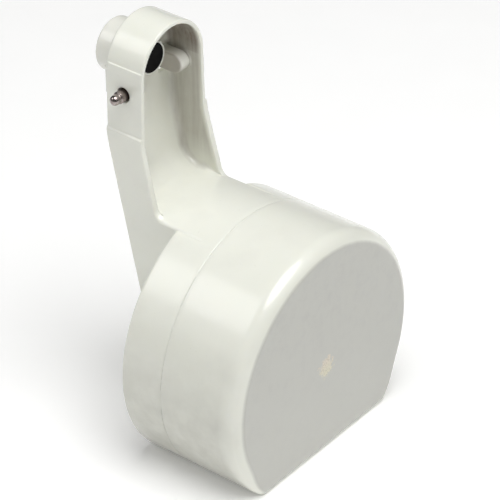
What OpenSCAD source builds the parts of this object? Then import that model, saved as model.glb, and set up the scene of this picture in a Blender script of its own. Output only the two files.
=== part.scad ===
// Float valve: a D-shaped float on a channel arm, hinged on two studs to a small inlet body.
// X points forward (towards the float's face), Z up. The origin is under the middle of the part,
// on the surface that the float's flat underside stands on. Millimetres.

/* [Float] */
// Diameter of the float drum
float_d = 95; // [90:1:100]
// Height of the drum's axis above its flat underside
flat_h = 34; // [32:0.5:36]
// Length of the drum, front face to back face
float_len = 48.5; // [46:0.5:51]
// Length of the front cap, from the front face to the seam
cap_len = 31.5; // [28:0.5:34]
// Radius of the rounded edge round the front face
face_r = 6; // [4:0.5:8]
// Radius of the two corners where the round side meets the flat
corner_r = 3.3; // [2.5:0.1:4]
// Wall thickness of the float shells
shell_t = 1.8; // [1.5:0.1:2.2]

/* [Arm and hood] */
// Distance from the float's front face back to the head's front edge
head_setback = 63.1; // [62:0.1:65]
// Depth of the arm and head, front to back
arm_depth = 15.2; // [15:0.1:16]
// Height of the hood's axis above the drum's axis
hood_rise = 92; // [90:0.5:94]
// Outer radius of the hood
hood_r = 15.75; // [15.6:0.05:15.9]
// Half width of the arm at the hood's axis
arm_half_w = 15.8; // [15.7:0.05:16]
// Widening of each side, per millimetre down the arm
side_draft = 0.026; // [0.02:0.002:0.03]
// Height above the drum's axis at which the arm starts to lean
kink_rise = 69; // [67:0.5:71]
// Lean of the lower arm from upright, in degrees
lean = 14; // [13:0.5:15]
// Wall thickness of the arm and hood
arm_t = 1.5; // [1.4:0.1:1.6]

/* [Hinge and seal] */
// Distance from the head's front edge back to the hinge axis
pivot_inset = 7.7; // [7.5:0.1:8]
// Height of the nozzle axis above the hinge axis
lever_h = 6.2; // [6:0.1:6.4]
// Radius of the hinge studs
stud_r = 2.1; // [2:0.05:2.2]
// Radius of the rubber plug's nose
plug_r = 5.2; // [5:0.1:5.4]
// Gap between the nozzle and the rubber when the valve is closed
seat_gap = 0.1; // [0.05:0.05:0.15]

/* [Inlet body] */
// Outer radius of the inlet barrel
barrel_r = 9.45; // [9.3:0.05:9.6]
// How far the barrel stands out behind the head
barrel_out = 10.1; // [9.8:0.1:11]
// Radius of the tapped inlet hole at its crests
inlet_r = 5.73; // [5.6:0.01:5.8]
// Length of the tapped stretch
inlet_len = 5; // [4.8:0.1:5.2]
// Radius of the water hole in the nozzle
orifice_r = 1.5; // [1:0.1:1.6]

/* [Hidden] */
$fn = 96;
eps = 0.01;
fit_gap = 0.05;        // gap round a piece that is pushed into another
running_gap = 0.06;    // radial clearance of the hinge studs in the arm
foam_gap = 0.15;       // gap between the foam and the shells
white_plastic = [0.93, 0.93, 0.89];
body_plastic = [0.91, 0.91, 0.87];

drum_r = float_d / 2;
length_x = head_setback + arm_depth + barrel_out;
face_x = length_x / 2;
seam_x = face_x - cap_len;
drum_back_x = face_x - float_len;
head_x = face_x - head_setback;
head_back_x = head_x - arm_depth;
barrel_end_x = -length_x / 2;
drum_z = flat_h;
hood_z = drum_z + hood_rise;
kink_z = drum_z + kink_rise;
pivot_x = head_x - pivot_inset;
pivot_z = hood_z - lever_h;
lean_run = tan(lean);

// the boss on the back wall that carries the rubber plug, and the two slots beside it
wall_x = head_back_x + arm_t;
boss_front_x = pivot_x - 0.6;
boss_r = plug_r + 0.8;
flange_r = 6.4;
flange_t = 0.9;
seal_x = head_back_x;
ear_r = 3.4;
ear_in_y = 9;
ear_out_y = arm_half_w - arm_t - 0.6;
slot_gap = 0.3;
slot_low_z = pivot_z - 5.3;
slot_top_z = pivot_z + ear_r + 0.7;

// inlet body, counted back from the sealing face
nozzle_tip_x = seal_x - seat_gap;
body_front_x = nozzle_tip_x - 1;
front_wall_t = 1;
chamber_x = body_front_x - front_wall_t;
yoke_t = 1.5;
nozzle_r = 3;
chamber_r = 4.6;
inlet_end_x = barrel_end_x + inlet_len;
gasket_t = 0.8;
gasket_r = 6.2;
gasket_x = inlet_end_x + gasket_t;
o_ring_t = 0.7;
o_ring_mid_r = nozzle_r + o_ring_t / 2 + fit_gap;
nozzle_flange_t = 0.6;
strainer_t = 0.3;
stud_tip_y = 21.8;
stud_in_y = ear_in_y + 0.8;
countersink_r = stud_r + 0.5;

function arm_w(z) = arm_half_w + side_draft * (hood_z - z);
function lean_x(z) = lean_run * max(0, kink_z - z);

// polygon in X and Z, extruded evenly to both sides of the middle plane
module along_y(half_w) {
    rotate([90, 0, 0]) linear_extrude(2 * half_w, center = true) children();
}

// outline in Y and Z, extruded forward from x0 to x1
module along_x(x0, x1) {
    translate([x0, 0, 0]) rotate([90, 0, 90]) linear_extrude(x1 - x0) children();
}

// round bar along X
module bar_x(x0, x1, z, r) {
    translate([x0, 0, z]) rotate([0, 90, 0]) cylinder(h = x1 - x0, r = r);
}

// round bar along Y
module bar_y(y0, y1, r, x = pivot_x, z = pivot_z) {
    translate([x, y0, z]) rotate([-90, 0, 0]) cylinder(h = y1 - y0, r = r);
}

// points round the lower right corner of the D, and on past the drum's round side
function corner_points(r, h, c) =
    let (cz = c - h, cy = sqrt((r - c) * (r - c) - cz * cz), top = atan2(cz, cy), steps = 6)
    concat(
        [for (i = [0:steps - 1]) let (a = -90 + (top + 90) * i / steps)
            [cy + c * cos(a), cz + c * sin(a)]],
        [[1.03 * r * cos(top), 1.03 * r * sin(top)], [2 * r, -0.3 * r], [2 * r, 2 * r]]
    );

// all that lies above the drum's flat and between its corners
module above_flat(inset = 0) {
    right = corner_points(drum_r - inset, flat_h - inset, max(corner_r - inset, 1.2));
    count = len(right);
    left = [for (i = [1:count]) [-right[count - i][0], right[count - i][1]]];
    translate([0, drum_z]) polygon(concat(right, left));
}

// D-shaped outline of the drum, drawn inside its surface by inset
module drum_outline(inset = 0) {
    intersection() {
        translate([0, drum_z]) circle(drum_r - inset);
        above_flat(inset);
    }
}

// front of the drum with its rounded edge, inset from the outer surface
module drum_front(inset = 0) {
    r = drum_r - inset;
    e = face_r - inset;
    low_e = (face_r - inset) / 2;
    end_x = face_x - inset;
    start_x = seam_x - 1;
    intersection() {
        translate([start_x, 0, drum_z]) rotate([0, 90, 0]) rotate_extrude() {
            square([r, end_x - start_x - e]);
            square([r - e, end_x - start_x]);
            translate([r - e, end_x - start_x - e]) circle(e);
        }
        along_x(start_x - 1, face_x + 1) above_flat(inset);
        along_y(drum_r + 1) polygon([
            [start_x - 1, inset - 1],
            [end_x - low_e, inset - 1],
            [end_x - low_e, inset],
            [end_x - 0.6 * low_e, inset + 0.08 * low_e],
            [end_x - 0.29 * low_e, inset + 0.29 * low_e],
            [end_x - 0.08 * low_e, inset + 0.6 * low_e],
            [end_x, inset + low_e],
            [end_x + 1, inset + low_e],
            [end_x + 1, 3 * drum_r],
            [start_x - 1, 3 * drum_r]
        ]);
    }
}

// side view of the arm and head
module arm_side(low_z) {
    polygon([
        [head_back_x + lean_x(low_z), low_z],
        [head_back_x, kink_z],
        [head_back_x, hood_z + hood_r],
        [head_x, hood_z + hood_r],
        [head_x, kink_z],
        [head_x + lean_x(low_z), low_z]
    ]);
}

// front view of the arm and hood, inset from the outer surface
module arm_front(inset, low_z) {
    polygon([
        [-arm_w(low_z) + inset, low_z],
        [-arm_w(hood_z + 3.5) + inset, hood_z + 3.5],
        [arm_w(hood_z + 3.5) - inset, hood_z + 3.5],
        [arm_w(low_z) - inset, low_z]
    ]);
    translate([0, hood_z]) circle(hood_r - inset);
}

bulge_low_z = 9;

module arm_outer() {
    intersection() {
        along_y(drum_r) arm_side(bulge_low_z);
        along_x(head_back_x, face_x) arm_front(0, bulge_low_z);
    }
    // the shelf and the bulge carry the arm into the back of the drum
    intersection() {
        along_y(drum_r) polygon([
            [head_back_x + lean_x(bulge_low_z), bulge_low_z],
            [head_back_x + lean_x(drum_z + drum_r), drum_z + drum_r],
            [drum_back_x + 1, drum_z + drum_r],
            [drum_back_x + 1, bulge_low_z]
        ]);
        along_x(head_back_x, face_x) arm_front(0, bulge_low_z);
        bar_x(head_back_x, drum_back_x + 1, drum_z, drum_r);
    }
}

// the channel and the space under the hood, open to the front, from the shelf up
module front_pocket() {
    difference() {
        intersection() {
            along_y(drum_r) polygon([
                [wall_x + lean_x(drum_z), drum_z],
                [wall_x, kink_z],
                [wall_x, hood_z + hood_r],
                [face_x, hood_z + hood_r],
                [face_x, drum_z]
            ]);
            along_x(head_back_x, face_x) arm_front(arm_t, drum_z);
        }
        bar_x(head_back_x, face_x, drum_z, drum_r);
    }
}

// slots in the back wall through which the two ears reach forward
module ear_slots() {
    slot_w = ear_out_y - ear_in_y + 2 * slot_gap;
    for (side = [-1, 1])
        translate([head_back_x - 1, side > 0 ? ear_in_y - slot_gap : -ear_out_y - slot_gap, slot_low_z])
            cube([arm_t + 2, slot_w, slot_top_z - slot_low_z]);
}

// inside of the rear shell, open at the seam, with the hollow of the bulge
module rear_cavity(gap = 0) {
    inset = shell_t + gap;
    along_x(drum_back_x + inset, seam_x + 1) drum_outline(inset);
    intersection() {
        along_y(drum_r) polygon([
            [head_back_x + inset + lean_x(bulge_low_z + 4), bulge_low_z + 4 + gap],
            [head_back_x + inset + lean_x(drum_z + drum_r), drum_z + drum_r],
            [drum_back_x + inset + 1, drum_z + drum_r],
            [drum_back_x + inset + 1, bulge_low_z + 4 + gap]
        ]);
        along_x(head_back_x, face_x) arm_front(inset, bulge_low_z);
        bar_x(head_back_x, face_x, drum_z, drum_r - inset);
    }
}

module float_arm() {
    color(white_plastic) difference() {
        union() {
            difference() {
                union() {
                    arm_outer();
                    along_x(drum_back_x, seam_x) drum_outline();
                }
                front_pocket();
            }
            bar_x(head_back_x + eps, boss_front_x, hood_z, boss_r);
        }
        ear_slots();
        rear_cavity();
        bar_x(head_back_x - 1, boss_front_x + 1, hood_z, plug_r);
        bar_x(head_back_x - 1, seal_x + flange_t + fit_gap, hood_z, flange_r + fit_gap);
        bar_y(-drum_r, drum_r, stud_r + running_gap);
        for (side = [-1, 1]) translate([pivot_x, side * (arm_w(pivot_z) + eps), pivot_z])
            rotate([side * 90, 0, 0]) cylinder(h = 0.5, r1 = countersink_r, r2 = stud_r + running_gap);
    }
}

module float_cap() {
    tongue_len = 3;
    tongue_t = 1.3;
    tongue_in = shell_t + fit_gap;
    color(white_plastic) difference() {
        union() {
            intersection() {
                drum_front();
                translate([seam_x, -drum_r, 0]) cube([cap_len, float_d, 2 * drum_r]);
            }
            along_x(seam_x - tongue_len, seam_x + 1) drum_outline(tongue_in);
        }
        intersection() {
            drum_front(shell_t);
            translate([seam_x + 1, -drum_r, 0]) cube([cap_len, float_d, 2 * drum_r]);
        }
        along_x(seam_x - tongue_len - 1, seam_x + 2) drum_outline(tongue_in + tongue_t);
        bar_x(face_x - 10, face_x + 1, drum_z, 1.5);
    }
}

module foam_core() {
    color([0.86, 0.80, 0.62]) difference() {
        union() {
            intersection() {
                drum_front(shell_t + foam_gap);
                translate([seam_x + 2, -drum_r, 0]) cube([cap_len, float_d, 2 * drum_r]);
            }
            along_x(seam_x - 5, seam_x + 3) drum_outline(shell_t + 1.6);
            intersection() {
                rear_cavity(foam_gap);
                translate([head_back_x, -drum_r, 0]) cube([seam_x - 4 - head_back_x, float_d, 2 * drum_r]);
            }
        }
        bar_x(face_x - 4, face_x + 1, drum_z, 2);
    }
}

module vent_plug() {
    color([0.78, 0.66, 0.45]) {
        bar_x(face_x - 3.5, face_x - 0.1, drum_z, 1.5 - fit_gap);
        bar_x(face_x - 3.5, face_x - shell_t - fit_gap, drum_z, 1.9);
    }
}

module seal_plug() {
    color([0.05, 0.05, 0.05]) {
        bar_x(seal_x, seal_x + flange_t, hood_z, flange_r);
        bar_x(seal_x, boss_front_x + 0.1, hood_z, plug_r - fit_gap);
    }
}

module inlet_body() {
    yoke_top_z = hood_z;
    edge_r = 1.2;
    color(body_plastic) difference() {
        union() {
            translate([barrel_end_x, 0, hood_z]) rotate([0, 90, 0]) rotate_extrude() {
                translate([0, edge_r]) square([barrel_r, body_front_x - barrel_end_x - edge_r]);
                square([barrel_r - edge_r, body_front_x - barrel_end_x]);
                translate([barrel_r - edge_r, edge_r]) circle(edge_r);
            }
            // flat yoke behind the head, bevelled at its two rear corners
            translate([0, 0, pivot_z - ear_r]) linear_extrude(yoke_top_z - pivot_z + ear_r) polygon([
                [body_front_x, -ear_out_y],
                [body_front_x, ear_out_y],
                [body_front_x - yoke_t / 2, ear_out_y],
                [body_front_x - yoke_t, ear_out_y - 1.2],
                [body_front_x - yoke_t, 1.2 - ear_out_y],
                [body_front_x - yoke_t / 2, -ear_out_y]
            ]);
            for (side = [-1, 1]) {
                y0 = side > 0 ? ear_in_y : -ear_out_y;
                translate([body_front_x - eps, y0, pivot_z - ear_r])
                    cube([pivot_x - body_front_x + eps, ear_out_y - ear_in_y, 2 * ear_r]);
                bar_y(y0, y0 + ear_out_y - ear_in_y, ear_r);
            }
        }
        bar_x(barrel_end_x - 1, inlet_end_x + eps, hood_z, inlet_r);
        bar_x(inlet_end_x, gasket_x + fit_gap, hood_z, gasket_r + fit_gap);
        bar_x(gasket_x, chamber_x, hood_z, chamber_r);
        bar_x(chamber_x - 1, body_front_x + 1, hood_z, nozzle_r + fit_gap);
        bar_y(stud_in_y, ear_out_y + 1, stud_r);
        bar_y(-ear_out_y - 1, -stud_in_y, stud_r);
    }
}

nozzle_flange_x = chamber_x - o_ring_t;

module nozzle() {
    lip_w = 0.7;
    color([0.80, 0.66, 0.33]) difference() {
        union() {
            bar_x(nozzle_flange_x - nozzle_flange_t, nozzle_flange_x, hood_z, chamber_r - fit_gap);
            bar_x(nozzle_flange_x, body_front_x, hood_z, nozzle_r);
            bar_x(body_front_x - eps, nozzle_tip_x, hood_z, orifice_r + lip_w);
        }
        bar_x(nozzle_flange_x - 2, nozzle_tip_x + 1, hood_z, orifice_r);
    }
}

module nozzle_o_ring() {
    ring_r = o_ring_t / 2 - 0.02;
    color([0.04, 0.04, 0.04]) translate([nozzle_flange_x + o_ring_t / 2, 0, hood_z])
        rotate([0, 90, 0]) rotate_extrude() translate([o_ring_mid_r, 0]) circle(ring_r, $fn = 32);
}

strainer_x = nozzle_flange_x - nozzle_flange_t - strainer_t - 0.05;

// woven disc, drawn as a plate with a grid of square holes
module inlet_strainer() {
    pitch = 1.1;
    hole = 0.7;
    color([0.70, 0.70, 0.70]) difference() {
        bar_x(strainer_x, strainer_x + strainer_t, hood_z, chamber_r - fit_gap);
        for (i = [-3:3], j = [-3:3])
            if (norm([i, j]) * pitch < chamber_r - 1.1)
                translate([strainer_x - 1, i * pitch - hole / 2, hood_z + j * pitch - hole / 2])
                    cube([2, hole, hole]);
    }
}

module strainer_ring() {
    color([0.55, 0.57, 0.60]) difference() {
        bar_x(gasket_x + 0.05, strainer_x - 0.02, hood_z, chamber_r - fit_gap);
        bar_x(gasket_x - 1, strainer_x + 1, hood_z, chamber_r - 1);
    }
}

module inlet_gasket() {
    color([0.12, 0.12, 0.12]) difference() {
        bar_x(inlet_end_x + 0.02, gasket_x, hood_z, gasket_r);
        bar_x(inlet_end_x - 1, gasket_x + 1, hood_z, chamber_r - 1);
    }
}

// stainless stud pressed into one ear, with a shoulder and a round nose outside the arm
module pivot_stud(side) {
    nose_r = 1.75;
    shoulder_y = stud_tip_y - 3.2;
    color([0.62, 0.58, 0.55]) scale([1, side, 1]) translate([pivot_x, 0, pivot_z])
        rotate([-90, 0, 0]) rotate_extrude() {
            translate([0, stud_in_y]) square([stud_r, shoulder_y - stud_in_y]);
            translate([0, stud_in_y]) square([nose_r, stud_tip_y - nose_r - stud_in_y]);
            intersection() {
                translate([0, stud_tip_y - nose_r]) circle(nose_r);
                square([nose_r, stud_tip_y]);
            }
        }
}
module pivot_stud_left() { pivot_stud(-1); }
module pivot_stud_right() { pivot_stud(1); }

float_arm();
float_cap();
foam_core();
vent_plug();
seal_plug();
inlet_body();
nozzle();
nozzle_o_ring();
inlet_strainer();
strainer_ring();
inlet_gasket();
pivot_stud_left();
pivot_stud_right();
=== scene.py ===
import math

import bpy
import numpy as np
from mathutils import Matrix, Vector


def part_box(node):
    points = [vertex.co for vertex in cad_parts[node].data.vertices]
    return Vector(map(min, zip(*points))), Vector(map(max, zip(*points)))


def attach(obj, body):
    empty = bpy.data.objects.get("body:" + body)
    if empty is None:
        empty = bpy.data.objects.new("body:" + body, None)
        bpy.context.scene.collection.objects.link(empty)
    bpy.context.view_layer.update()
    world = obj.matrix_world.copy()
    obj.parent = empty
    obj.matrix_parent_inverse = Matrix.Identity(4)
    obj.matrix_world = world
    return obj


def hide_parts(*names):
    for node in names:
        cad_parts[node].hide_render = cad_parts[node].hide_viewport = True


# Looks of the float valve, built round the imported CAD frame. Lengths are in millimetres,
# and MM turns them into the frame's metres for meshes, materials and lights.
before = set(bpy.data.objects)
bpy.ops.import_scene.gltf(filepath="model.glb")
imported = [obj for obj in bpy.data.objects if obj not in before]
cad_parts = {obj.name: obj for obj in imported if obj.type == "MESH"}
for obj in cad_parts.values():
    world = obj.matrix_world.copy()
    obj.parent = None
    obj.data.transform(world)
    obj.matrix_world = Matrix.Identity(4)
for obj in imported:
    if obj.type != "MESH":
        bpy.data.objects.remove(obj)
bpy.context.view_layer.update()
MM = 0.001


# ---------------------------------------------------------------- sizes

def box_mm(node):
    """Lowest and highest corner of a CAD node, in millimetres."""
    low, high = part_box(node)
    return np.array(low) / MM, np.array(high) / MM


arm_low, arm_high = box_mm("float_arm")
cap_high = box_mm("float_cap")[1]
body_low, body_high = box_mm("inlet_body")
plug_low, plug_high = box_mm("seal_plug")
stud_low, stud_high = box_mm("pivot_stud_right")
vent_low = box_mm("vent_plug")[0]

# sizes that the CAD source has too; the holes, the seat and the plug have 0.05 mm of clearance here
DRUM_R = 47.5
DRUM_Z = 34.0
FLOAT_LEN = 48.5
FACE_R = 6.0
SHELL_T = 1.8
ARM_T = 1.5
ARM_DEPTH = 15.2
ARM_HALF_W = 15.8
SIDE_DRAFT = 0.026
HOOD_R = 15.75
KINK_RISE = 69.0
LEAN_RUN = math.tan(math.radians(14))
BULGE_LOW_Z = 9.0
EAR_IN_Y = 9.0
EAR_R = 3.4
INLET_R = 5.73
INLET_LEN = 5.0
GASKET_R = 6.25
GASKET_T = 0.85
CHAMBER_R = 4.6
FRONT_WALL_T = 1.0
NOZZLE_HOLE_R = 3.05
PLUG_R = 5.15
PLUG_BOSS_T = 0.85
BODY_GAP = 1.1
YOKE_T = 1.5
SEAT_DEPTH = 0.95
SLOT_DROP = 0.6
SLOT_HALF_H = 4.7
SLOT_GAP = 0.3
BULGE_EDGE_R = 4

face_x = cap_high[0]
seam_x = arm_high[0]
drum_back_x = face_x - FLOAT_LEN
head_back_x = arm_low[0]
head_x = head_back_x + ARM_DEPTH
wall_x = head_back_x + ARM_T
kink_z = DRUM_Z + KINK_RISE
hood_z = (plug_low[2] + plug_high[2]) / 2
pivot_x = (stud_low[0] + stud_high[0]) / 2
pivot_z = (stud_low[2] + stud_high[2]) / 2
stud_r = (stud_high[0] - stud_low[0]) / 2
stud_in_y = stud_low[1]
stud_tip_y = stud_high[1]
plug_flange_r = (plug_high[2] - plug_low[2]) / 2
boss_r = PLUG_R + PLUG_BOSS_T
barrel_end_x = body_low[0]
barrel_r = body_high[2] - hood_z
ear_out_y = body_high[1]
body_front_x = head_back_x - BODY_GAP
yoke_low_z = body_low[2]

# details that only the looks have
PLUG_STANDS_OUT = 0.1
boss_front_x = plug_high[0] - PLUG_STANDS_OUT
FLAT_EDGE_R = 3.2
THREAD_PITCH = 1.337
THREAD_DEPTH = 0.6
UPPER_CREASE_Z = hood_z + 3.6
LOWER_CREASE_Z = hood_z - 20.0
LOWER_PROUD = 0.8
CREASE_CHAMFER = 0.75
UPPER_SINK = 0.1
SHELF_PROUD = 0.12
SHELF_GROOVE = 0.34
SHELF_CREASE_END_X = drum_back_x + 15
STUD_HOLE_R = stud_r + 0.4
SEAM_DIP = 0.11
SEAM_REACH = 1.3
FACE_CREASE = 0.2
RUNNING_FIT = 0.05
RIM_R = 0.4
BACK_EDGE_R = 0.9
DRUM_BACK_EDGE_R = 1.5
DRUM_FLAT_EDGE_R = 1.1
WEB_TO_SHELF_R = 7
RIM_TO_SHELF_R = 2.5
WEB_TO_WALL_R = 2.8
DRUM_TO_ARM_R = 0.8
HUB_STANDS_IN = 0.12
BARREL_EDGE_R = 1.0
MOUTH_CHAMFER = 0.9
THREAD_STEEPNESS = 1.35
THREAD_LAND = 0.25
NOSE_R = 1.75
RESIN_R = 1.45
CAP_COLUMNS = 320
CAP_ROWS = 12
ARM_STEP = 0.5
BODY_STEP = 0.25

# places of the painted shade, stain and grime, from the CAD sizes
HOOD_SKIN_R = HOOD_R - ARM_T
SHADE_AND_STAIN_LOW_Z, SHADE_AND_STAIN_FULL_Z = 78.0, 86.0
SHADE_AND_STAIN_FADE_Z, SHADE_AND_STAIN_TOP_Z = 124.0, 128.0
SHADE_AND_GRIME_FULL_Z, SHADE_AND_GRIME_TOP_Z = 12.0, 60.0


# ---------------------------------------------------------------- distance fields

def round_max(a, b, r):
    """What two solids share, with the edge between them rounded to r."""
    return np.minimum(np.maximum(a, b), -r) + np.hypot(np.maximum(a + r, 0), np.maximum(b + r, 0))


def round_min(a, b, r):
    """Two solids together, with the corner between them filled to r."""
    return -round_max(-a, -b, r)


def ramp(value, start, end):
    """0 before start, 1 after end, and smooth in between."""
    t = np.clip((value - start) / (end - start), 0, 1)
    return t * t * (3 - 2 * t)


def leaning_plane(x, z, at_x, softness):
    """Distance ahead of a plane that is upright above the kink and leans below it."""
    below = kink_z - z
    reach = np.sqrt(below * below + softness * softness)
    run = LEAN_RUN * (below + reach) / 2
    slope = LEAN_RUN * (1 + below / reach) / 2
    return (x - at_x - run) / np.sqrt(1 + slope * slope)


def drum_outline(y, z):
    """D-shaped outline of the drum."""
    return round_max(np.hypot(y, z - DRUM_Z) - DRUM_R, -z, DRUM_FLAT_EDGE_R)


def arm_field(x, y, z):
    """Rear shell of the float, channel arm and hood, in one moulding."""
    y = np.abs(y)
    rho = np.hypot(y, z - DRUM_Z)
    axis_d = np.hypot(y, z - hood_z)
    side = y - ARM_HALF_W - SIDE_DRAFT * (hood_z - z)
    ahead = leaning_plane(x, z, head_x, 2.5)
    behind = -leaning_plane(x, z, head_back_x, 3)
    web = leaning_plane(x, z, wall_x, 6)
    proud = LOWER_PROUD * (0.8 + 0.2 * np.clip(-behind / ARM_DEPTH, 0, 1))
    chamfer = np.clip((LOWER_CREASE_Z - z) / CREASE_CHAMFER, 0, 1)
    flank = side + UPPER_SINK * ramp(z, hood_z - 5, UPPER_CREASE_Z) - proud * chamfer
    outer = np.minimum(round_max(flank, z - UPPER_CREASE_Z, 0.25), axis_d - HOOD_R)
    inner = np.minimum(np.maximum(side + ARM_T, z - hood_z), axis_d - HOOD_R + ARM_T)

    # the shelf is the drum's round top, carried back to the web, and sinks into the drum ahead
    shelf_proud = SHELF_PROUD * (1 - ramp(x, drum_back_x, SHELF_CREASE_END_X))
    shelf_sink = 0.05 * ramp(x, drum_back_x, seam_x)
    groove = SHELF_GROOVE * np.exp(-((side - LOWER_PROUD) / 0.5) ** 2)
    groove = groove * ramp(z, DRUM_Z + 20, DRUM_Z + 30) * (1 - ramp(x, drum_back_x + 8, SHELF_CREASE_END_X))
    top = rho - DRUM_R - shelf_proud + shelf_sink + groove
    wall = round_max(-inner, round_min(ahead, top, RIM_TO_SHELF_R), RIM_R)
    floor = round_min(web, top, WEB_TO_SHELF_R)
    solid = round_min(wall, floor, WEB_TO_WALL_R * ramp(-ahead, 0, 5))
    boss = round_max(axis_d - boss_r, x - boss_front_x, 0.3)
    solid = round_min(solid, boss, 0.7)
    hub = np.hypot(x - pivot_x, z - pivot_z) - EAR_R
    hub = round_max(hub, ear_out_y + HUB_STANDS_IN - y, 0.1)
    solid = round_min(solid, hub, 0.5)
    column = round_max(outer, solid, 0.45)
    column = round_max(column, behind, BACK_EDGE_R)
    column = round_max(column, BULGE_LOW_Z - z, BULGE_EDGE_R)
    column = np.maximum(column, x - SHELF_CREASE_END_X)

    outline = drum_outline(y, z)
    dip = SEAM_DIP * (1 - ramp(seam_x - x, 0, SEAM_REACH))
    drum = round_max(outline + dip + groove, drum_back_x - x, DRUM_BACK_EDGE_R)
    drum = round_max(drum, x - seam_x, 0.05)
    fillet = DRUM_TO_ARM_R * ramp(side, -4, -1) * ramp(drum_back_x + 1.2 - x, 0, 1.5)
    part = round_min(column, drum, fillet)

    cavity = np.maximum(outline + SHELL_T, drum_back_x + SHELL_T - x)
    bulge = np.maximum(np.maximum(side, behind), rho - DRUM_R) + SHELL_T
    bulge = np.maximum(bulge, np.maximum(BULGE_LOW_Z + BULGE_EDGE_R - z, x - drum_back_x - 4))
    part = np.maximum(part, -np.minimum(cavity, bulge))

    part = round_max(part, PLUG_R + RUNNING_FIT - axis_d, 0.15)
    seat = np.maximum(axis_d - plug_flange_r - RUNNING_FIT, x - head_back_x - SEAT_DEPTH)
    part = np.maximum(part, -seat)
    slot_y = (EAR_IN_Y + ear_out_y) / 2
    slot_z = pivot_z - SLOT_DROP
    slot_half_w = (ear_out_y - EAR_IN_Y) / 2 + SLOT_GAP
    slot = np.maximum(np.abs(y - slot_y) - slot_half_w, np.abs(z - slot_z) - SLOT_HALF_H)
    part = round_max(part, -np.maximum(slot, x - wall_x - 2), 0.2)
    hole = np.hypot(x - pivot_x, z - pivot_z) - STUD_HOLE_R
    return round_max(part, -np.maximum(hole, EAR_IN_Y - 1 - y), 0.3)


def body_field(x, y, z):
    """Inlet barrel with its thread, the yoke behind the head, and the two ears."""
    angle = np.arctan2(y, z - hood_z)
    y = np.abs(y)
    axis_d = np.hypot(y, z - hood_z)
    barrel = round_max(axis_d - barrel_r, barrel_end_x - x, BARREL_EDGE_R)
    barrel = round_max(barrel, x - body_front_x, 0.3)
    yoke = np.maximum(np.maximum(x - body_front_x, body_front_x - YOKE_T - x), z - hood_z)
    ear = np.hypot(np.maximum(x - pivot_x, 0), z - pivot_z) - EAR_R
    ear = np.maximum(ear, body_front_x - 0.5 - x)
    ear = round_max(ear, np.abs(y - (EAR_IN_Y + ear_out_y) / 2) - (ear_out_y - EAR_IN_Y) / 2, 0.45)
    yoke = round_max(yoke, y - ear_out_y - np.minimum(x - body_front_x + 0.7, 0), 0.3)
    yoke = round_max(yoke, yoke_low_z - z, 0.3)
    part = round_min(round_min(barrel, yoke, 0.6), ear, 0.4)
    turn = (x - barrel_end_x) / THREAD_PITCH + angle / (2 * math.pi)
    off_crest = 2 * np.abs(turn - np.round(turn))
    groove = np.clip(THREAD_STEEPNESS * (1 - off_crest) - THREAD_LAND, 0, 1)
    depth = THREAD_DEPTH * groove * ramp(barrel_end_x + INLET_LEN - x, 0.2, 0.8)
    mouth = np.maximum(MOUTH_CHAMFER - (x - barrel_end_x), 0)
    bore = np.maximum(axis_d - INLET_R - np.maximum(depth, mouth), x - barrel_end_x - INLET_LEN)
    seat = np.maximum(axis_d - GASKET_R, x - barrel_end_x - INLET_LEN - GASKET_T)
    chamber = np.maximum(axis_d - CHAMBER_R, x - body_front_x + FRONT_WALL_T)
    hole = np.minimum(np.minimum(bore, seat), np.minimum(chamber, axis_d - NOZZLE_HOLE_R))
    return np.maximum(part, -hole)


def cap_field(x, y, z, inset):
    """Closed front of the float, drawn inside its surface by inset."""
    edge = FLAT_EDGE_R + (FACE_R - FLAT_EDGE_R) * ramp(z, 2, 16)
    outline = drum_outline(y, z) + inset
    front = x - face_x + inset
    return np.maximum(round_max(outline, front - FACE_CREASE, edge - inset), front)


# ---------------------------------------------------------------- meshes

def new_object(name, points, quads, normals=None):
    """Mesh object from arrays in millimetres. The points stay where they are in the frame."""
    mesh = bpy.data.meshes.new(name)
    mesh.vertices.add(len(points))
    mesh.vertices.foreach_set("co", (np.asarray(points) * MM).astype(np.float32).ravel())
    mesh.loops.add(quads.size)
    mesh.loops.foreach_set("vertex_index", quads.astype(np.int32).ravel())
    mesh.polygons.add(len(quads))
    mesh.polygons.foreach_set("loop_start", np.arange(0, quads.size, quads.shape[1], dtype=np.int32))
    mesh.update(calc_edges=True)
    mesh.shade_smooth()
    mesh.validate()
    if normals is not None and len(mesh.vertices) == len(normals):
        mesh.normals_split_custom_set_from_vertices(normals.tolist())
    obj = bpy.data.objects.new(name, mesh)
    bpy.context.scene.collection.objects.link(obj)
    return obj


def gradient(field, points, reach):
    """Direction in which the field grows, at each point."""
    slopes = np.zeros_like(points)
    for axis in range(3):
        shift = np.zeros(3)
        shift[axis] = reach
        slopes[:, axis] = field(*(points + shift).T) - field(*(points - shift).T)
    return slopes / (2 * reach)


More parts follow.
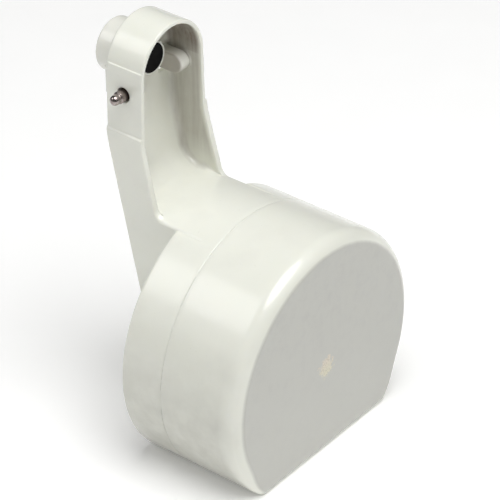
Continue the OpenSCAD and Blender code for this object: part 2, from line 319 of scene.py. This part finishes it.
def surface_of(field, low, high, step):
    """Quads where the field is zero, with the surface's own normals. The field is even in y."""
    xs = np.arange(low[0], high[0] + step, step)
    half = np.arange(step / 2, high[1] + step, step)
    zs = np.arange(low[2], high[2] + step, step)
    value = field(*np.meshgrid(xs, half, zs, indexing="ij", sparse=True))
    value = np.concatenate([value[:, ::-1], value], axis=1)
    ys = np.concatenate([-half[::-1], half])
    start = np.array([xs[0], ys[0], zs[0]])

    inside = value < 0
    corners = [(i, j, k) for i in (0, 1) for j in (0, 1) for k in (0, 1)]
    cells = tuple(n - 1 for n in value.shape)
    count = np.zeros(cells, np.int8)
    for i, j, k in corners:
        count += inside[i:i + cells[0], j:j + cells[1], k:k + cells[2]]
    active = np.argwhere((count > 0) & (count < 8))
    index = np.full(cells, -1, np.int32)
    index[tuple(active.T)] = np.arange(len(active))

    total = np.zeros((len(active), 3))
    crossings = np.zeros(len(active))
    for a, first in enumerate(corners):
        for second in corners[a + 1:]:
            if sum(abs(p - q) for p, q in zip(first, second)) != 1:
                continue
            f0 = value[tuple((active + first).T)]
            f1 = value[tuple((active + second).T)]
            cut = (f0 < 0) != (f1 < 0)
            share = np.where(cut, f0 / np.where(cut, f0 - f1, 1), 0)
            place = np.array(first) + share[:, None] * (np.array(second) - np.array(first))
            total += place * cut[:, None]
            crossings += cut
    points = start + (active + total / crossings[:, None]) * step

    faces = []
    for axis in range(3):
        u, v = (axis + 1) % 3, (axis + 2) % 3
        ahead = [slice(1, -1)] * 3
        ahead[axis] = slice(0, -1)
        beyond = list(ahead)
        beyond[axis] = slice(1, None)
        here, there = inside[tuple(ahead)], inside[tuple(beyond)]
        offset = np.ones(3, int)
        offset[axis] = 0
        for leaves in (True, False):
            edges = np.argwhere((here != there) & (here == leaves)) + offset
            ring = []
            for du, dv in ((-1, -1), (0, -1), (0, 0), (-1, 0)):
                cell = edges.copy()
                cell[:, u] += du
                cell[:, v] += dv
                ring.append(index[tuple(cell.T)])
            faces.append(np.stack(ring if leaves else ring[::-1], axis=1))
    quads = np.concatenate(faces)

    for _ in range(4):
        slope = gradient(field, points, 0.02)
        size = np.maximum((slope * slope).sum(1), 0.05)
        move = slope * (field(*points.T) / size)[:, None]
        length = np.linalg.norm(move, axis=1)
        points -= move * np.minimum(1, 0.4 * step / np.maximum(length, 1e-9))[:, None]
    normals = gradient(field, points, 0.15)
    normals /= np.maximum(np.linalg.norm(normals, axis=1), 1e-9)[:, None]
    return points, quads, normals


def strip_quads(rows, columns):
    """Quads of a sheet of rows of points, closed round each row."""
    row, column = np.meshgrid(np.arange(rows - 1), np.arange(columns), indexing="ij")
    following = (column + 1) % columns
    quads = [row * columns + column, row * columns + following]
    quads += [(row + 1) * columns + following, (row + 1) * columns + column]
    return np.stack(quads, axis=-1).reshape(-1, 4)


def lathe(name, profile, axis, centre, segments=96):
    """Solid of revolution. The profile is (distance along the axis, radius), closed at both ends."""
    angle = np.linspace(0, 2 * math.pi, segments, endpoint=False)
    rows = []
    for along, radius in profile:
        ring = np.zeros((segments, 3))
        others = [a for a in range(3) if a != axis]
        ring[:, axis] = along
        ring[:, others[0]] = centre[0] + radius * np.cos(angle)
        ring[:, others[1]] = centre[1] + radius * np.sin(angle)
        rows.append(ring)
    quads = strip_quads(len(rows), segments)
    if axis == 1:
        quads = quads[:, ::-1]
    return new_object(name, np.concatenate(rows), quads)


def arc(centre, radius, start, end, steps=8):
    """Points of a profile round a centre, angles in degrees from the axis of revolution."""
    for i in range(steps + 1):
        a = math.radians(start + (end - start) * i / steps)
        yield centre[0] + radius * math.cos(a), centre[1] + radius * math.sin(a)


# ---------------------------------------------------------------- pieces

def cap_sheet(inset, rows_along, start_x):
    """Rows of points on the cap's surface, from start_x forward and over the face to its middle."""
    angle = np.linspace(0, 2 * math.pi, CAP_COLUMNS, endpoint=False)
    out = np.stack([np.zeros(CAP_COLUMNS), np.sin(angle), np.cos(angle)], axis=1)
    centre = np.array([0, 0, DRUM_Z])

    def cast(base, direction):
        near, far = np.zeros(CAP_COLUMNS), np.full(CAP_COLUMNS, 2 * DRUM_R)
        for _ in range(40):
            middle = (near + far) / 2
            within = cap_field(*(base + direction * middle[:, None]).T, inset) < 0
            near, far = np.where(within, middle, near), np.where(within, far, middle)
        return base + direction * near[:, None]

    bend_x = face_x - FACE_R - 1
    rows = []
    for t in np.linspace(0, 1, rows_along):
        rows.append(cast(centre + [start_x + (bend_x - start_x) * t, 0, 0], out))
    core = rows[-1] - out * (FACE_R + 1 - inset)
    ahead = np.array([1.0, 0, 0])
    for turn in np.radians(np.concatenate([np.linspace(4, 52, 14), np.linspace(54, 90, 26)])):
        rows.append(cast(core, out * math.cos(turn) + ahead * math.sin(turn)))
    middle = centre + [face_x - inset, 0, 0]
    rim = rows[-1]
    for t in (0.94, 0.86, 0.76, 0.64, 0.52, 0.4, 0.28, 0.16, 0.06, 0.0):
        rows.append(middle + (rim - middle) * t)
    return rows


def make_cap():
    """Front shell of the float: outer sheet, inner sheet, a softened seam edge and the tongue."""
    outer = cap_sheet(0, CAP_ROWS, seam_x + SEAM_REACH)
    inner = cap_sheet(SHELL_T, CAP_ROWS, seam_x + 1)
    soft = []
    for t in (0.0, 0.05, 0.2, 0.4, 0.6, 0.8):
        dip = SEAM_DIP * (1 - ramp(t, 0, 1)) + 0.02 * (t == 0)
        soft.append(cap_sheet(dip, 2, seam_x + SEAM_REACH * t)[0])
    tongue_out = cap_sheet(SHELL_T + RUNNING_FIT, 2, seam_x)[0]
    tongue_far = tongue_out - [3, 0, 0]
    tongue_in = cap_sheet(SHELL_T + 1.35, 2, seam_x)[0]
    tongue_in_far = tongue_in - [3, 0, 0]
    tongue_in_near = tongue_in + [0.9, 0, 0]
    rows = inner[::-1] + [tongue_in_near, tongue_in_far, tongue_far, tongue_out] + soft + outer
    return new_object("float_front_shell", np.concatenate(rows), strip_quads(len(rows), CAP_COLUMNS))


def make_arm():
    """Rear shell with the arm and hood. The box reaches a little past the piece on every side."""
    low = [head_back_x - 0.9, 0, -1.1]
    high = [seam_x + 0.9, DRUM_R + 0.9, arm_high[2] + 1.1]
    return new_object("float_rear_shell_and_arm", *surface_of(arm_field, low, high, ARM_STEP))


def make_body():
    """Inlet barrel, yoke and ears, on a finer grid that holds the thread."""
    low = [barrel_end_x - 0.6, 0, yoke_low_z - 0.6]
    high = [pivot_x + EAR_R + 0.6, ear_out_y + 0.6, body_high[2] + 0.6]
    return new_object("inlet_barrel_and_ears", *surface_of(body_field, low, high, BODY_STEP))


def make_plug():
    """Rubber plug: flange behind the wall, body through the boss, and a slightly dished nose."""
    flange_x, nose_x = plug_low[0], plug_high[0]
    profile = [(flange_x, 0), (flange_x, 2.4), (flange_x + 0.12, 3.0), (flange_x, 3.6)]
    profile += arc((flange_x + 0.2, plug_flange_r - 0.2), 0.2, 180, 90, 4)
    profile += arc((flange_x + 0.7, plug_flange_r - 0.2), 0.2, 90, 0, 4)
    profile += [(flange_x + 0.9, PLUG_R + 0.1), (flange_x + 1.1, PLUG_R)]
    profile += arc((nose_x - 0.35, PLUG_R - 0.35), 0.35, 90, 0, 6)
    profile += [(nose_x - 0.02, 4.3), (nose_x - 0.14, 3.4), (nose_x - 0.2, 1.6), (nose_x - 0.2, 0)]
    return lathe("rubber_seal", profile, 0, (0, hood_z))


def make_stud(side, name):
    """Stainless stud: chamfered inner end, groove at the wall, shoulder and round nose."""
    shoulder_y = stud_tip_y - 3.2
    profile = [(stud_in_y, 0), (stud_in_y, stud_r - 0.3), (stud_in_y + 0.3, stud_r)]
    groove_y, groove_r = ARM_HALF_W - 0.6, stud_r - 0.12
    profile += [(groove_y, stud_r), (groove_y + 0.2, groove_r)]
    profile += [(groove_y + 0.7, groove_r), (groove_y + 0.9, stud_r)]
    profile += arc((shoulder_y - 0.25, stud_r - 0.25), 0.25, 90, 20, 4)
    profile += [(shoulder_y + 0.05, NOSE_R + 0.04), (shoulder_y + 0.3, NOSE_R)]
    profile += arc((stud_tip_y - NOSE_R, 0), NOSE_R, 90, 0, 14)
    profile = [(side * along, radius) for along, radius in profile]
    stud = lathe(name, profile, 1, (pivot_x, pivot_z), 64)
    if side < 0:
        stud.data.flip_normals()
    return stud


def make_vent():
    """Drop of set resin in the filling hole, uneven at its edge."""
    columns = 72
    angle = np.linspace(0, 2 * math.pi, columns, endpoint=False)
    wobble = 1 + 0.10 * np.sin(2 * angle + 0.7) + 0.07 * np.sin(5 * angle) + 0.04 * np.sin(9 * angle + 2)
    rows = []
    inner_end = [(0.0, vent_low[0]), (1.0, vent_low[0])]
    drop = [(1.0, 0.3), (0.99, 0.13), (0.9, 0.08), (0.7, 0.12), (0.45, 0.05), (0.2, 0.1), (0.0, 0.12)]
    for share, x in inner_end + [(share, face_x - sink) for share, sink in drop]:
        radius = RESIN_R * share * (1 if x < face_x - 1 else np.minimum(wobble, 1.02))
        across, height = radius * np.cos(angle), DRUM_Z + radius * np.sin(angle)
        rows.append(np.stack([np.full(columns, x), across, height], axis=1))
    return new_object("filling_hole_resin", np.concatenate(rows), strip_quads(len(rows), columns))


# ---------------------------------------------------------------- materials

def new_material(name):
    """Empty node material, and helpers that add and join its nodes."""
    material = bpy.data.materials.new(name)
    material.use_nodes = True
    tree = material.node_tree
    tree.nodes.clear()
    shader = tree.nodes.new("ShaderNodeBsdfPrincipled")
    output = tree.nodes.new("ShaderNodeOutputMaterial")
    tree.links.new(shader.outputs[0], output.inputs[0])

    def add(kind, links=(), **settings):
        node = tree.nodes.new(kind)
        for key, setting in settings.items():
            setattr(node, key, setting)
        for socket, source in links:
            if isinstance(source, bpy.types.NodeSocket):
                tree.links.new(source, node.inputs[socket])
            else:
                node.inputs[socket].default_value = source
        return node.outputs

    def join(socket, source):
        if isinstance(source, bpy.types.NodeSocket):
            tree.links.new(source, shader.inputs[socket])
        else:
            shader.inputs[socket].default_value = source

    place = add("ShaderNodeTexCoord")["Object"]
    return material, add, join, place


def noise(add, place, scale, detail=3.0, roughness=0.55, stretch=None):
    """Noise of the given number of features per metre, from 0 to 1."""
    if stretch:
        place = add("ShaderNodeMapping", [("Vector", place), ("Scale", stretch)])[0]
    links = [("Vector", place), ("Scale", scale), ("Detail", detail), ("Roughness", roughness)]
    return add("ShaderNodeTexNoise", links)["Fac"]


def remap(add, source, low, high, to_low, to_high):
    """The source between low and high, spread between to_low and to_high."""
    links = [("Value", source), ("From Min", low), ("From Max", high)]
    return add("ShaderNodeMapRange", links + [("To Min", to_low), ("To Max", to_high)])[0]


def band(add, source, low, high, to_low, to_high):
    """The same for a place on the object, with low and high in millimetres."""
    return remap(add, source, low * MM, high * MM, to_low, to_high)


def product(add, first, *others):
    """All the factors multiplied together."""
    for other in others:
        first = add("ShaderNodeMath", [(0, first), (1, other)], operation="MULTIPLY")[0]
    return first


def blend(add, share, first, second):
    """Colour between first and second."""
    mix = add("ShaderNodeMix", [("Factor", share)], data_type="RGBA")[2].node
    tree = mix.id_data
    for socket, colour in ((mix.inputs[6], first), (mix.inputs[7], second)):
        if isinstance(colour, bpy.types.NodeSocket):
            tree.links.new(colour, socket)
        else:
            socket.default_value = (*colour, 1)
    return mix.outputs[2]


def bump(add, height, strength, depth, links=(), **settings):
    """Normal of a skin that the height moves by up to depth, in millimetres."""
    rises = [("Height", height), ("Strength", strength), ("Distance", depth * MM)]
    return add("ShaderNodeBump", rises + list(links), **settings)[0]


def moulded_plastic(name, colour, warm, stain_and_shade=False, face_shade_and_spot=False, ears=False):
    """Satin off-white plastic: faint tint changes, marks, painted shade with some grime low down on the
    sides, fine scratches and a slightly wavy skin. Where asked, it also paints shade with brown stain
    inside the hood, shade on the ear ends, and a darker grey on the face that is partly painted shade.
    """
    material, add, join, place = new_material(name)
    tint = remap(add, noise(add, place, 38, 4), 0.35, 0.7, 0, 1)
    base = blend(add, tint, colour, warm)
    marks = remap(add, noise(add, place, 80, 4, 0.5), 0.5, 0.8, 0, 0.10)
    base = blend(add, marks, base, (0.47, 0.46, 0.43))
    where = add("ShaderNodeSeparateXYZ", [(0, place)])
    specks = remap(add, noise(add, place, 1500, 2, 0.5), 0.71, 0.8, 0, 0.22)
    base = blend(add, specks, base, (0.42, 0.38, 0.32))
    scratch_a = noise(add, place, 420, 2, 0.5, (1, 0.03, 0.6))
    scratch_b = noise(add, place, 380, 2, 0.5, (0.5, 1, 0.035))
    scratches = add("ShaderNodeMath", [(0, scratch_a), (1, scratch_b)], operation="MAXIMUM")[0]
    scratches = remap(add, scratches, 0.70, 0.80, 0, 1)
    across, height = where[1], where[2]
    # painted shade inside the hood: its ceiling and inner walls are darkened brown where the hood shades
    # them, with some real brown stain mixed in
    if stain_and_shade:
        flat = add("ShaderNodeVectorMath", [(0, place), (1, (0, 1, 1))], operation="MULTIPLY")[0]
        axis = (0, 0, hood_z * MM)
        off = add("ShaderNodeVectorMath", [(0, flat), (1, axis)], operation="DISTANCE")["Value"]
        below = add("ShaderNodeMath", [(0, kink_z * MM), (1, height)], operation="SUBTRACT")[0]
        below = add("ShaderNodeMath", [(0, below), (1, 0.0)], operation="MAXIMUM")[0]
        lean = [(0, below), (1, -LEAN_RUN), (2, where[0])]
        depth = add("ShaderNodeMath", lean, operation="MULTIPLY_ADD")[0]
        deep = product(add, band(add, depth, head_x - 1.8, head_x - 0.5, 1, 0),
                       band(add, depth, wall_x - 0.6, wall_x - 0.2, 0, 1))
        ceiling = band(add, off, HOOD_SKIN_R - 2.2, HOOD_SKIN_R - 0.6, 0, 1)
        ceiling = product(add, ceiling, band(add, off, HOOD_SKIN_R + 0.3, HOOD_SKIN_R + 0.6, 1, 0),
                          band(add, height, 116, 127, 0, 1))
        out = add("ShaderNodeMath", [(0, across), (1, 0.0)], operation="ABSOLUTE")[0]
        walls = product(add, band(add, out, 12.5, 14.2, 0, 1), band(add, out, 15.2, 15.5, 1, 0),
                        band(add, height, SHADE_AND_STAIN_LOW_Z, SHADE_AND_STAIN_FULL_Z, 0, 0.5),
                        band(add, height, SHADE_AND_STAIN_FADE_Z, SHADE_AND_STAIN_TOP_Z, 1, 0))
        runs = remap(add, noise(add, place, 700, 3, 0.6, (1, 1, 0.05)), 0.35, 0.65, 0.72, 1)
        patchy = remap(add, noise(add, place, 210, 5, 0.6), 0.3, 0.7, 0.85, 1)
        share = add("ShaderNodeMath", [(0, ceiling), (1, walls)], operation="MAXIMUM")[0]
        base = blend(add, product(add, share, deep, runs, patchy), base, (0.22, 0.17, 0.135))
    # painted shade with some grime: the sides darken towards the bottom in patches, away from the face
    side_on = band(add, where[0], face_x - 8, face_x - 2.5, 1, 0)
    low_patches = remap(add, noise(add, place, 130, 5, 0.55), 0.3, 0.7, 0.6, 1)
    low_shade_and_grime = product(add, band(add, height, SHADE_AND_GRIME_FULL_Z, SHADE_AND_GRIME_TOP_Z, 0.85, 0), low_patches, side_on)
    base = blend(add, low_shade_and_grime, base, (0.41, 0.405, 0.345))
    # painted shade: the inner ends of the ears inside the hood are darkened brown, as the hood shades them
    if ears:
        out = add("ShaderNodeMath", [(0, across), (1, 0.0)], operation="ABSOLUTE")[0]
        ends = product(add, band(add, out, EAR_IN_Y + 0.1, EAR_IN_Y + 0.8, 1, 0),
                       band(add, out, EAR_IN_Y - 0.6, EAR_IN_Y - 0.3, 0, 1),
                       band(add, where[0], wall_x - 1, wall_x, 0, 0.5))
        base = blend(add, ends, base, (0.27, 0.215, 0.175))
    if face_shade_and_spot:
        # the face is painted a darker grey: partly its own greyer tone, partly painted shade, as the face
        # turns away from the main lights
        on_face = band(add, where[0], face_x - 0.6, face_x - 0.1, 0, 1)
        base = blend(add, on_face, base, (0.54, 0.54, 0.495))
        rubbed = remap(add, noise(add, place, 260, 6, 0.62), 0.48, 0.72, 0, 0.5)
        rubbed = product(add, rubbed, on_face, band(add, height, 20, 70, 0.35, 1))
        base = blend(add, rubbed, base, (0.47, 0.465, 0.44))
        middle = (face_x * MM, 0, DRUM_Z * MM)
        away = add("ShaderNodeVectorMath", [(0, place), (1, middle)], operation="DISTANCE")["Value"]
        edge = remap(add, noise(add, place, 520, 5, 0.75), 0.25, 0.75, 0.8 * MM, 6.8 * MM)
        near = add("ShaderNodeMath", [(0, away), (1, edge)], operation="SUBTRACT")[0]
        tan = blend(add, band(add, height, 32.5, 36.5, 0, 1), (0.73, 0.69, 0.52), (0.76, 0.67, 0.54))
        base = blend(add, band(add, near, -1.2, 0.4, 0.85, 0), base, tan)
        crumbs = remap(add, noise(add, place, 1700, 3, 0.6), 0.52, 0.6, 0, 0.55)
        crumbs = product(add, band(add, near, -1.0, 0.4, 1, 0), crumbs)
        base = blend(add, crumbs, base, (0.42, 0.38, 0.27))
    join("Base Color", base)
    rough = remap(add, noise(add, place, 140, 4, 0.6), 0.3, 0.75, 0.30, 0.38)
    rough = add("ShaderNodeMath", [(0, scratches), (1, 0.10), (2, rough)], operation="MULTIPLY_ADD")[0]
    join("Roughness", rough)
    join("IOR", 1.49)
    join("Coat Weight", 0.7)
    join("Coat Roughness", 0.16)
    join("Subsurface Weight", 0.12)
    join("Subsurface Radius", (1.0, 0.9, 0.7))
    join("Subsurface Scale", 0.0012)
    waves = noise(add, place, 130, 2, 0.4)
    grain = noise(add, place, 2600, 3, 0.6)
    skin = bump(add, waves, 0.55, 0.1)
    skin = bump(add, grain, 0.35, 0.03, [("Normal", skin)])
    join("Normal", bump(add, scratches, 0.3, 0.02, [("Normal", skin)], invert=True))
    return material


def rubber(name, colour):
    """Dull black rubber with a faint bloom and a fine pebbled skin."""
    material, add, join, place = new_material(name)
    bloom = remap(add, noise(add, place, 330, 5, 0.65), 0.5, 0.75, 0, 0.3)
    join("Base Color", blend(add, bloom, colour, tuple(c * 2 + 0.004 for c in colour)))
    join("Roughness", remap(add, noise(add, place, 500, 3), 0.3, 0.7, 0.4, 0.55))
    join("Specular IOR Level", 0.05)
    skin = noise(add, place, 2400, 3, 0.6)
    join("Normal", bump(add, skin, 0.5, 0.06))
    return material


def turned_metal(name, colour, stain_and_shade, stain_share, roughness, axis):
    """Lathe-turned metal: fine rings across the axis, with stains that gather in patches, and on the stud
    painted shade at its root by the wall.
    """
    material, add, join, place = new_material(name)
    stretch = [0.04, 0.04, 0.04]
    stretch[axis] = 1.0
    rings = noise(add, place, 9000, 2, 0.5, stretch)
    patches = remap(add, noise(add, place, 420, 5, 0.65), 0.35, 0.62, 0, stain_share)
    if axis == 1:
        apart = add("ShaderNodeSeparateXYZ", [(0, place)])[1]
        out = add("ShaderNodeMath", [(0, apart)], operation="ABSOLUTE")[0]
        # painted shade at the stud's root, where it comes out of the wall
        root_shade = band(add, out, ARM_HALF_W, ARM_HALF_W + 3.4, 0.9, 0.0)
        patches = add("ShaderNodeMath", [(0, patches), (1, root_shade)], operation="MAXIMUM")[0]
    join("Base Color", blend(add, patches, colour, stain_and_shade))
    join("Metallic", 1.0)
    rough = remap(add, rings, 0.3, 0.7, roughness - 0.05, roughness + 0.08)
    rough = add("ShaderNodeMath", [(0, patches), (1, 0.22), (2, rough)], operation="MULTIPLY_ADD")[0]
    join("Roughness", rough)
    join("Normal", bump(add, rings, 0.4, 0.01))
    return material


def porous(name, colour, dark, scale):
    """Foam or set resin: mottled colour with small pores."""
    material, add, join, place = new_material(name)
    mottle = remap(add, noise(add, place, scale, 5, 0.7), 0.35, 0.7, 0, 1)
    join("Base Color", blend(add, mottle, colour, dark))
    join("Roughness", remap(add, mottle, 0, 1, 0.55, 0.8))
    join("Normal", bump(add, mottle, 0.7, 0.12))
    return material


def matte_floor():
    """Pale studio floor with a barely visible grain."""
    material, add, join, place = new_material("studio_floor")
    grain = remap(add, noise(add, place, 60, 4), 0.3, 0.7, 0, 1)
    join("Base Color", blend(add, grain, (0.955, 0.955, 0.95), (0.97, 0.97, 0.965)))
    join("Roughness", 0.9)
    join("Specular IOR Level", 0.1)
    join("Emission Color", (1, 1, 0.995, 1))
    join("Emission Strength", 0.14)
    return material


def dress(obj, material):
    """Gives the object one material."""
    obj.data.materials.clear()
    obj.data.materials.append(material)


# ---------------------------------------------------------------- assembly

float_plastic = moulded_plastic("float_plastic", (0.855, 0.865, 0.78), (0.87, 0.875, 0.795), stain_and_shade=True)
cap_plastic = moulded_plastic("cap_plastic", (0.85, 0.86, 0.775), (0.865, 0.87, 0.79), face_shade_and_spot=True)
inlet_plastic = moulded_plastic("inlet_plastic", (0.80, 0.80, 0.735), (0.82, 0.815, 0.75), ears=True)
# stud steel: a dark brownish colour, partly the steel's own brownish tone and partly a painted reflection
# that stands in for the dark surroundings it reflects
stud_metal = turned_metal("stud_metal", (0.44, 0.39, 0.375), (0.13, 0.09, 0.075), 0.6, 0.16, 1)

made = [
    (make_arm(), "float", "float_arm", "float_plastic", float_plastic),
    (make_cap(), "float", "float_cap", "float_plastic", cap_plastic),
    (make_vent(), "float", "vent_plug", "vent_resin",
     porous("vent_resin", (0.74, 0.67, 0.51), (0.46, 0.41, 0.31), 1700)),
    (make_plug(), "float", "seal_plug", "seal_rubber", rubber("seal_rubber", (0.003, 0.0026, 0.0022))),
    (make_body(), "valve_body", "inlet_body", "body_plastic", inlet_plastic),
    (make_stud(-1, "hinge_stud_left"), "valve_body", "pivot_stud_left", "stud_steel", stud_metal),
    (make_stud(1, "hinge_stud_right"), "valve_body", "pivot_stud_right", "stud_steel", stud_metal),
]
for piece, rides_on, node, slot, material in made:
    dress(piece, material)
    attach(piece, rides_on)
    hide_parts(node)

kept_nodes = {
    "foam_core": porous("foam", (0.72, 0.66, 0.50), (0.60, 0.53, 0.37), 900),
    "nozzle": turned_metal("nozzle_brass", (0.78, 0.60, 0.30), (0.40, 0.28, 0.12), 0.5, 0.24, 0),
    "nozzle_o_ring": rubber("ring_rubber", (0.012, 0.012, 0.012)),
    "inlet_strainer": turned_metal("strainer_steel", (0.62, 0.62, 0.61), (0.42, 0.40, 0.37), 0.4, 0.3, 0),
    "strainer_ring": turned_metal("ring_steel", (0.60, 0.60, 0.60), (0.40, 0.38, 0.36), 0.4, 0.26, 0),
    "inlet_gasket": rubber("gasket_rubber", (0.03, 0.03, 0.03)),
}
for node, material in kept_nodes.items():
    dress(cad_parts[node], material)


# ---------------------------------------------------------------- studio

LIGHT_DISTANCE = 1200
LIGHTS_AIM_Z = 60
FLOOR_SIZE = 6000


def make_camera():
    """Long lens, from the left of the float's face and above it, placed to match the photograph."""
    azimuth, elevation, roll = (math.radians(a) for a in (38.54, 34.07, 0.41))
    distance = 982.6
    aim = Vector((10.95, 1.8, 65.7))
    back = Vector((math.sin(azimuth) * math.cos(elevation), -math.cos(azimuth) * math.cos(elevation),
                   math.sin(elevation)))
    level = Vector((math.cos(azimuth), math.sin(azimuth), 0))
    upright = back.cross(level)
    right = level * math.cos(roll) - upright * math.sin(roll)
    up = level * math.sin(roll) + upright * math.cos(roll)
    data = bpy.data.cameras.new("camera")
    data.lens = 214.8
    data.sensor_width = 36
    data.clip_start = 0.05
    camera = bpy.data.objects.new("camera", data)
    bpy.context.scene.collection.objects.link(camera)
    place = Matrix((right, up, back)).transposed().to_4x4()
    place.translation = (aim + back * distance) * MM
    camera.matrix_world = place
    bpy.context.scene.camera = camera


def area_light(name, azimuth, elevation, size, power):
    """Round soft light that looks at the part's middle. Azimuth 0 is -Y, and it grows towards +X."""
    data = bpy.data.lights.new(name, "AREA")
    data.shape = "DISK"
    data.size = size
    data.energy = power
    light = bpy.data.objects.new(name, data)
    bpy.context.scene.collection.objects.link(light)
    a, e = math.radians(azimuth), math.radians(elevation)
    away = Vector((math.sin(a) * math.cos(e), -math.cos(a) * math.cos(e), math.sin(e)))
    light.location = Vector((0, 0, LIGHTS_AIM_Z * MM)) + away * LIGHT_DISTANCE * MM
    light.rotation_mode = "QUATERNION"
    light.rotation_quaternion = away.to_track_quat("Z", "Y")


def make_studio():
    """Pale floor, an even surround and three soft lights."""
    bpy.ops.mesh.primitive_plane_add(size=FLOOR_SIZE * MM)
    floor = bpy.context.object
    floor.name = "studio_floor"
    dress(floor, matte_floor())
    world = bpy.data.worlds.new("surround")
    world.use_nodes = True
    background = world.node_tree.nodes["Background"]
    background.inputs["Color"].default_value = (1, 1, 0.985, 1)
    background.inputs["Strength"].default_value = 0.11
    bpy.context.scene.world = world
    area_light("key", 75, 76, 1.0, 12.8)
    area_light("left", -46, 43, 0.6, 2.2)
    area_light("front", 100, 50, 1.0, 1.8)
    bpy.context.scene.view_settings.view_transform = "Standard"


make_camera()
make_studio()
